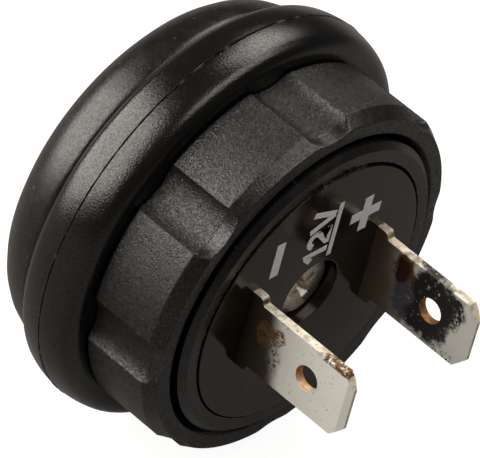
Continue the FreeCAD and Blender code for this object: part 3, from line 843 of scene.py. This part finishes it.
class SOCKET_OT_cover(bpy.types.Operator):
    """Rear cover with its slots and screw well, and the torn flash in the seam round it"""

    bl_idname = "socket.cover"
    bl_label = "Rear cover"

    RING_BORE = 5.15 * MM
    BOSS_RADIUS = 6.2 * MM
    GROOVE_RADIUS = 11.16 * MM
    GROOVE_LOW = COVER_FRONT + 0.53 * MM
    GROOVE_HIGH = COVER_FRONT + 1.47 * MM
    SLOT_GAP = 0.08 * MM
    FLASH_STEPS = 120

    def execute(self, context):
        ease = sizes().edge_round
        spigot = RING_BACK - MM
        corners = [
            (GUIDE_RADIUS, spigot, 0), (self.RING_BORE, spigot, 0), (self.RING_BORE, RING_BACK, 0),
            (self.BOSS_RADIUS, RING_BACK, 0), (self.BOSS_RADIUS, COVER_FRONT, 0),
            (COVER_RADIUS, COVER_FRONT, 0), (COVER_RADIUS, self.GROOVE_LOW, 0),
            (self.GROOVE_RADIUS, self.GROOVE_LOW, 0), (self.GROOVE_RADIUS, self.GROOVE_HIGH, 0),
            (COVER_RADIUS, self.GROOVE_HIGH, 0), (COVER_RADIUS, COVER_BACK, ease / 2),
            (WELL_RADIUS, COVER_BACK, ease), (WELL_RADIUS, SCREW_SEAT, 0), (PILOT_RADIUS, SCREW_SEAT, 0),
            (PILOT_RADIUS, POST_END, 0), (GUIDE_RADIUS, POST_END, 0),
        ]

        def close_seam(radius, y, turn):
            """The rim comes nearer to the body, most of all on the side of the negative blade."""
            if radius < self.GROOVE_RADIUS + 0.4 * MM:
                return radius
            return radius + (0.05 + 0.08 * math.sin(turn)) * MM

        piece = lathe("cover_disc", fillet_path(corners, closed=True), even_turns(COLUMNS), bend=close_seam)
        wide, tall = BLADE_THICK + 2 * self.SLOT_GAP, BASE_WIDTH + 2 * self.SLOT_GAP
        for side in (-1, 1):
            outline = rectangle(side * BLADE_MIDDLE, 0, wide, tall)
            combine(piece, prism("slot", outline, 1, COVER_FRONT - 0.5 * MM, COVER_BACK + MM), "DIFFERENCE")
        gloss = glossy_cover()
        settle(piece, gloss, "housing", "rear_cover")
        self.flash(gloss)
        return {"FINISHED"}

    def flash(self, finish):
        """Ragged moulding flash that stands in the seam over a short arc at the top."""
        first, last = math.radians(-14), math.radians(24)
        seam_inner, seam_outer = COVER_RADIUS + 0.03 * MM, SEAM_RADIUS - 0.02 * MM
        low = RIM - 0.5 * MM
        bm = bmesh.new()
        rows = []
        for k in range(self.FLASH_STEPS + 1):
            share = k / self.FLASH_STEPS
            turn = first + (last - first) * share
            spot = Vector((share * 23, 1.7, 0.4))
            ends = min(share, 1 - share, 0.2) / 0.2
            rough = 0.5 + 0.9 * noise.noise(spot) + 0.6 * noise.noise(spot * 3.1)
            inward = max(noise.noise(spot * 1.7), 0.0)
            outward = max(noise.noise(spot * 2.3 + Vector((5, 0, 0))), 0.0)
            top = RIM + 0.04 * MM + 0.3 * MM * ends * held(rough)
            inner = seam_inner - 0.25 * MM * ends * inward
            outer = seam_outer + 0.45 * MM * ends * outward
            section = [
                (inner, max(top - 0.1 * MM, COVER_BACK - 0.05 * MM)), (inner * 0.6 + outer * 0.4, top),
                (outer, max(top - 0.12 * MM, RIM - 0.02 * MM)), (seam_outer, low), (seam_inner, low),
            ]
            rows.append([bm.verts.new((r * math.sin(turn), y, r * math.cos(turn))) for r, y in section])
        settle(skin("seam_flash", bm, rows), finish, "housing")


class SOCKET_OT_marks(bpy.types.Operator):
    """Printed marks on the cover: plus, minus and the voltage with its underline"""

    bl_idname = "socket.marks"
    bl_label = "Printed marks"

    STROKE = 0.95 * MM
    FIGURE_STROKE = 0.54 * MM
    FIGURE_BASE, FIGURE_TOP = -0.47 * MM, 2.2 * MM
    # How much each stroke of the voltage stands over the one before, so that no two faces lie in one plane
    LIFT = 0.002 * MM

    def execute(self, context):
        low = COVER_BACK - 0.01 * MM
        high = COVER_BACK + sizes().mark_thick
        outlines = {
            "minus_mark": rectangle(5.5 * MM, 5.95 * MM, self.STROKE, 3.4 * MM),
            "underline_mark": rectangle(-0.95 * MM, 6.2 * MM, 0.5 * MM, 5.4 * MM),
            "plus_mark": self.plus(-4.42 * MM, 6.2 * MM, 1.7 * MM),
        }
        pieces = [prism(name, outline, 1, low, high) for name, outline in outlines.items()]
        for k, (name, path) in enumerate(self.voltage().items()):
            pieces.append(prism(name, self.stroke(path), 1, low, high + self.LIFT * k))
        finish = printed_grey()
        for piece in pieces:
            settle(piece, finish, "housing")
        return {"FINISHED"}

    def plus(self, x, z, arm):
        """Outline of a plus sign with arms of one length."""
        half = self.STROKE / 2
        outline = [(-half, -arm), (half, -arm), (half, -half), (arm, -half), (arm, half), (half, half),
                   (half, arm), (-half, arm), (-half, half), (-arm, half), (-arm, -half), (-half, -half)]
        return [(across + x, up + z) for across, up in outline]

    def stroke(self, path):
        """Outline of even width along a path of places across (Z) and up (X)."""
        points = [Vector(point) for point in path]
        sides = ([], [])
        for k, point in enumerate(points):
            before = (point - points[k - 1]).normalized() if k else None
            after = (points[k + 1] - point).normalized() if k + 1 < len(points) else None
            heading = ((before or after) + (after or before)).normalized()
            reach = self.FIGURE_STROKE / 2 / max(heading.dot(after or before), 0.6)
            normal = Vector((-heading.y, heading.x)) * reach
            sides[0].append(point + normal)
            sides[1].append(point - normal)
        return [(up, across) for across, up in sides[0] + sides[1][::-1]]

    def voltage(self):
        """Paths of the figures 1 and 2 and the letter V, which read along +Z with their tops towards +X."""
        base, top = self.FIGURE_BASE, self.FIGURE_TOP
        foot, head = base + self.FIGURE_STROKE / 2, top - self.FIGURE_STROKE / 2
        bowl = 0.62 * MM
        turns = [math.radians(angle) for angle in range(170, -51, -20)]
        one = [(3.75 * MM, head - 0.75 * MM), (4.3 * MM, head - 0.1 * MM), (4.5 * MM, head), (4.5 * MM, base)]
        two = [(6.0 * MM + bowl * math.cos(t), head - bowl + bowl * math.sin(t)) for t in turns]
        two += [(5.4 * MM, foot + 0.12 * MM), (5.4 * MM, foot), (6.85 * MM, foot)]
        return {
            "one_mark": one,
            "two_mark": two,
            "letter_left_mark": [(7.1 * MM, top), (7.95 * MM, base)],
            "letter_right_mark": [(8.05 * MM, base), (8.9 * MM, top)],
        }


class SOCKET_OT_screw(bpy.types.Operator):
    """Plated pan-head screw with a tapered cross recess"""

    bl_idname = "socket.screw"
    bl_label = "Cover screw"

    HEAD_RADIUS = 2.75 * MM
    SHANK_RADIUS = 1.5 * MM
    COLUMNS = 96
    CROSS_TURN = math.radians(60)
    # Level, half length and half width of the cross at its top and below
    CROSS_ENDS = ((SCREW_TOP + 0.3 * MM, 1.75 * MM, 0.42 * MM), (SCREW_TOP - 1.2 * MM, 0.7 * MM, 0.24 * MM))

    def execute(self, context):
        corners = [
            (0, SCREW_TIP, 0), (self.SHANK_RADIUS, SCREW_TIP + 0.9 * MM, 0),
            (self.SHANK_RADIUS, SCREW_SEAT, 0), (self.HEAD_RADIUS, SCREW_SEAT, 0.1 * MM),
            (self.HEAD_RADIUS, SCREW_TOP - 0.12 * MM, 0.2 * MM), (0, SCREW_TOP, 0),
        ]
        points = fillet_path(corners, closed=False)
        piece = lathe("screw_head", points, even_turns(self.COLUMNS), closed=False)
        for quarter in range(2):
            combine(piece, self.wing(self.CROSS_TURN + quarter * math.pi / 2), "DIFFERENCE")
        ease_edges(piece, 0.04 * MM, 40)
        nickel = plated("nickel_plate", colours().nickel, 0.24)
        settle(piece, nickel, "housing", "cover_screw", sharp=0)
        return {"FINISHED"}

    def wing(self, turn):
        """Wedge that cuts one arm of the cross: wide at the top and narrow below."""
        spin = Matrix.Rotation(turn, 2)
        bm = bmesh.new()
        loops = []
        for level, reach, half in self.CROSS_ENDS:
            corners = [spin @ Vector(corner) for corner in rectangle(0, 0, 2 * reach, 2 * half)]
            loops.append([bm.verts.new((corner.x, level, corner.y)) for corner in corners])
        return skin("cross_wing", bm, loops)


class SOCKET_OT_blades(bpy.types.Operator):
    """Two blade terminals, stamped with a round at each edge and a stained tin plate"""

    bl_idname = "socket.blades"
    bl_label = "Blades"

    SHOULDER_OUT = 1.11 * MM
    TIP_LENGTH = 1.06 * MM
    TIP_SLOPE = 1.2 * MM
    BEVEL_LENGTH = 0.9 * MM
    PAD_INNER = 8.6 * MM
    PAD_HALF_WIDTH = 2.0 * MM
    # How far pieces go into or past each other where they are joined or cut
    LAP = 0.05 * MM
    # Pole, side along X and how dark the foot is
    POLES = (("positive", -1, 0.55), ("negative", 1, 0.95))

    def blade(self, name, side):
        face = side * BLADE_MIDDLE - BLADE_THICK / 2
        half_base, half = BASE_WIDTH / 2, BLADE_WIDTH / 2
        shoulder = COVER_BACK + self.SHOULDER_OUT
        side_line = [
            (COVER_FRONT - BLADE_THICK, half_base, 0), (shoulder - 0.05 * MM, half_base, 0.42 * MM),
            (shoulder + 0.1 * MM, half, 0.25 * MM), (BLADE_TIP - self.TIP_LENGTH, half, 0.15 * MM),
            (BLADE_TIP, half - self.TIP_SLOPE, 0.15 * MM), (BLADE_TIP, 0, 0),
        ]
        path = [tuple(point) for point in fillet_path(side_line, closed=False)]
        outline = path[:-1] + [(y, -z) for y, z in reversed(path[:-1])]
        piece = prism(name, outline, 0, face, face + BLADE_THICK)
        hole = circle_points(COVER_BACK + BLADE_HOLE_OUT, 0, BLADE_HOLE_RADIUS)
        combine(piece, prism("hole", hole, 0, face - MM, face + BLADE_THICK + MM), "DIFFERENCE")
        end = BLADE_TIP + 0.01 * MM
        for level, inward in ((face, 1), (face + BLADE_THICK, -1)):
            outside, inside = level - inward * 0.15 * MM, level + inward * 0.25 * MM
            wedge = [(outside, BLADE_TIP - self.BEVEL_LENGTH), (inside, end), (outside, end)]
            combine(piece, prism("bevel", wedge, 2, -half_base, half_base), "DIFFERENCE")
        combine(piece, self.strip(side), "UNION")
        ease_edges(piece, 0.07 * MM, 15)
        return piece

    def strip(self, side):
        """Foot, leg and contact pad that carry the blade inside the barrel."""
        leg_outer = BLADE_HIGH.x
        leg_inner = leg_outer - BLADE_THICK
        inner = BLADE_LOW.x + 2 * self.LAP
        foot = COVER_FRONT - BLADE_THICK + self.LAP
        contact = FLOOR + BLADE_THICK
        corners = [
            (self.PAD_INNER, FLOOR, 0), (leg_outer, FLOOR, 0.8 * MM), (leg_outer, COVER_FRONT, 0.8 * MM),
            (inner, COVER_FRONT, 0), (inner, foot, 0), (leg_inner, foot, 0), (leg_inner, contact, 0),
            (self.PAD_INNER, contact, 0),
        ]
        outline = [(side * point.x, point.y) for point in fillet_path(corners, closed=True)]
        return prism("strip", outline, 2, -self.PAD_HALF_WIDTH, self.PAD_HALF_WIDTH)

    def execute(self, context):
        for pole, side, scorch in self.POLES:
            piece = self.blade(f"blade_{pole}", side)
            settle(piece, tinned_blade(pole, scorch), "housing", f"terminal_{pole}", sharp=0)
        return {"FINISHED"}


class SOCKET_OT_spring(bpy.types.Operator):
    """Return spring as a coil at one length; the real spring shortens as the carrier slides to the face"""

    bl_idname = "socket.spring"
    bl_label = "Return spring"

    TURNS = 5
    STEPS = 48
    SIDES = 12
    WIRE_RADIUS = 0.25 * MM

    def execute(self, context):
        low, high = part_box("return_spring")
        wire = self.WIRE_RADIUS
        radius = high.x - wire
        count = self.TURNS * self.STEPS
        upward = Vector((0, 1, 0))
        bm = bmesh.new()
        rings = []
        for k in range(count + 1):
            turn = math.tau * k / self.STEPS
            outward = Vector((math.sin(turn), 0, math.cos(turn)))
            level = low.y + wire + (high.y - low.y - 2 * wire) * k / count
            middle = outward * radius + upward * level
            around = [outward * math.cos(t) + upward * math.sin(t) for t in even_turns(self.SIDES)]
            rings.append([bm.verts.new(middle + wire * direction) for direction in around])
        piece = skin("spring_coil", bm, rings)
        steel = plated("spring_steel", colours().steel, 0.25, (1, 6, 1))
        settle(piece, steel, "housing", "return_spring")
        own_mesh(piece)
        return {"FINISHED"}


class SOCKET_OT_inner(bpy.types.Operator):
    """Finishes on the contacts, carrier, magnets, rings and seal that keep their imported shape"""

    bl_idname = "socket.inner"
    bl_label = "Inner pieces"

    def execute(self, context):
        palette = colours()
        poles = ("positive", "negative")
        contacts = [f"{kind}_{pole}" for kind in ("contact_pin", "contact_bridge") for pole in poles]
        washers = [f"pin_washer_{pole}" for pole in poles]
        dress_nodes(contacts, plated("contact_brass", palette.brass, 0.18, (6, 1, 1)))
        dress_nodes(washers + ["holding_ring"], plated("ring_steel", palette.steel, 0.25, (1, 6, 1)))
        dress_nodes([f"slide_magnet_{k}" for k in range(1, 5)], plated("magnet_plate", palette.nickel, 0.16))
        dress_nodes(["magnet_carrier"], satin_moulding())
        dress_nodes(["cover_seal"], gasket_rubber())
        return {"FINISHED"}


class SOCKET_OT_stage(bpy.types.Operator):
    """Pale floor, soft studio lights and the camera"""

    bl_idname = "socket.stage"
    bl_label = "Studio"

    # The camera, fitted to the photograph
    AIM = Vector((2.016, 1.719, 2.589)) * MM
    AZIMUTH, ELEVATION, ROLL = math.radians(34.95), math.radians(39.26), math.radians(15.05)
    DISTANCE = 365.37 * MM
    LENS = 352.2

    # Name of each light, its place right, up and back of the aim, its width and depth, and its radiance
    LIGHTS = (
        ("key_left", (-0.42, 0.28, 0.22), (0.5, 0.9), 6.2),
        ("fill_right", (0.36, 0.29, 0.33), (0.25, 0.6), 3.2),
        ("top_right", (0.21, 0.44, 0.03), (0.22, 0.3), 5.0),
    )

    FLOOR_REACH = 3.0
    FLOOR_GLOW, WORLD_GLOW = 0.93, 1.0
    MIRRORED_GLOW, FILL_GLOW = 0.06, 0.05

    def view_axes(self):
        """The camera's right, up and back directions."""
        flat, height = math.cos(self.ELEVATION), math.sin(self.ELEVATION)
        back = Vector((flat * math.cos(self.AZIMUTH), flat * math.sin(self.AZIMUTH), height))
        level = Vector((-math.sin(self.AZIMUTH), math.cos(self.AZIMUTH), 0))
        rise = back.cross(level)
        right = math.cos(self.ROLL) * level + math.sin(self.ROLL) * rise
        return right, back.cross(right), back

    def camera(self):
        right, up, back = self.view_axes()
        data = bpy.data.cameras.new("camera")
        data.lens = self.LENS
        data.sensor_fit = "HORIZONTAL"
        data.sensor_width = 36
        camera = link_object("camera", data)
        turn = Matrix((right, up, back)).transposed().to_4x4()
        camera.matrix_world = Matrix.Translation(self.AIM + back * self.DISTANCE) @ turn
        bpy.context.scene.camera = camera

    def softbox(self, name, place, size, radiance):
        """Rectangular light that faces the camera's aim, with its depth along the view."""
        right, up, back = self.view_axes()
        offset = right * place[0] + up * place[1] + back * place[2]
        away = offset.normalized()
        along = (back - away * back.dot(away)).normalized()
        data = bpy.data.lights.new(name, "AREA")
        data.shape = "RECTANGLE"
        data.size, data.size_y = size
        data.energy = radiance * math.pi * size[0] * size[1]
        data.color = colours().lamp
        lamp = link_object(name, data)
        turn = Matrix((along.cross(away), along, away)).transposed().to_4x4()
        lamp.matrix_world = Matrix.Translation(self.AIM + offset) @ turn

    def floor(self):
        bm = bmesh.new()
        corners = rectangle(0, 0, 2 * self.FLOOR_REACH, 2 * self.FLOOR_REACH)
        bm.faces.new([bm.verts.new((x, y, CAD_BOX[0][2])) for x, y in corners])
        floor = new_piece("floor", bm)
        made = Finish("studio_floor", Roughness=0.9, Specular_IOR_Level=0.0)
        made.set(Base_Color=made.mix(made.noise(3, 2), shaded(colours().floor, 0.98), colours().floor))
        glow = made.node("ShaderNodeEmission")
        made.feed(glow.inputs["Strength"], self.backdrop(made, self.FLOOR_GLOW))
        both = made.node("ShaderNodeAddShader")
        made.feed(both.inputs[0], made.shader.outputs[0])
        made.feed(both.inputs[1], glow.outputs[0])
        made.feed(made.tree.nodes["Material Output"].inputs["Surface"], both.outputs[0])
        floor.data.materials.append(made.material)

    def backdrop(self, made, seen):
        """Glow that makes the surroundings white to the camera and faint in reflections."""
        path = made.node("ShaderNodeLightPath").outputs
        mirrored = made.math("MAXIMUM", path["Is Glossy Ray"], path["Is Transmission Ray"])
        straight = made.times(path["Is Camera Ray"], seen)
        return made.math("MAXIMUM", straight, made.times(mirrored, self.MIRRORED_GLOW))

    def world(self):
        world = bpy.data.worlds.new("studio")
        bpy.context.scene.world = world
        world.use_nodes = True
        made = Finish.over(world.node_tree)
        background = world.node_tree.nodes["Background"]
        made.feed(background.inputs["Color"], (1, 1, 1))
        glow = made.math("MAXIMUM", self.backdrop(made, self.WORLD_GLOW), self.FILL_GLOW)
        made.feed(background.inputs["Strength"], glow)

    def execute(self, context):
        context.scene.view_settings.view_transform = "Standard"
        self.floor()
        self.world()
        for light in self.LIGHTS:
            self.softbox(*light)
        self.camera()
        return {"FINISHED"}


class SOCKET_PT_panel(bpy.types.Panel):
    """Lists the socket's pieces in the sidebar"""

    bl_idname = "SOCKET_PT_panel"
    bl_label = "Magnetic power socket"
    bl_space_type = "VIEW_3D"
    bl_region_type = "UI"
    bl_category = "Socket"

    def draw(self, context):
        for operator in OPERATORS:
            self.layout.operator(operator.bl_idname)
        for group in (context.scene.socket_sizes, context.scene.socket_colours):
            for key in group.__annotations__:
                self.layout.prop(group, key)


OPERATORS = (SOCKET_OT_stage, SOCKET_OT_body, SOCKET_OT_gasket, SOCKET_OT_nut, SOCKET_OT_cover,
             SOCKET_OT_marks, SOCKET_OT_screw, SOCKET_OT_blades, SOCKET_OT_spring, SOCKET_OT_inner)
CLASSES = (SocketSizes, SocketColours, *OPERATORS, SOCKET_PT_panel)


def register():
    for entry in CLASSES:
        bpy.utils.register_class(entry)
    bpy.types.Scene.socket_sizes = PointerProperty(type=SocketSizes)
    bpy.types.Scene.socket_colours = PointerProperty(type=SocketColours)


def unregister():
    del bpy.types.Scene.socket_colours
    del bpy.types.Scene.socket_sizes
    for entry in reversed(CLASSES):
        bpy.utils.unregister_class(entry)


def main():
    register()
    bpy.ops.socket.stage()
    bpy.ops.socket.body()
    bpy.ops.socket.gasket()
    bpy.ops.socket.nut()
    bpy.ops.socket.cover()
    bpy.ops.socket.marks()
    bpy.ops.socket.screw()
    bpy.ops.socket.blades()
    bpy.ops.socket.spring()
    bpy.ops.socket.inner()


if __name__ == "__main__":
    main()
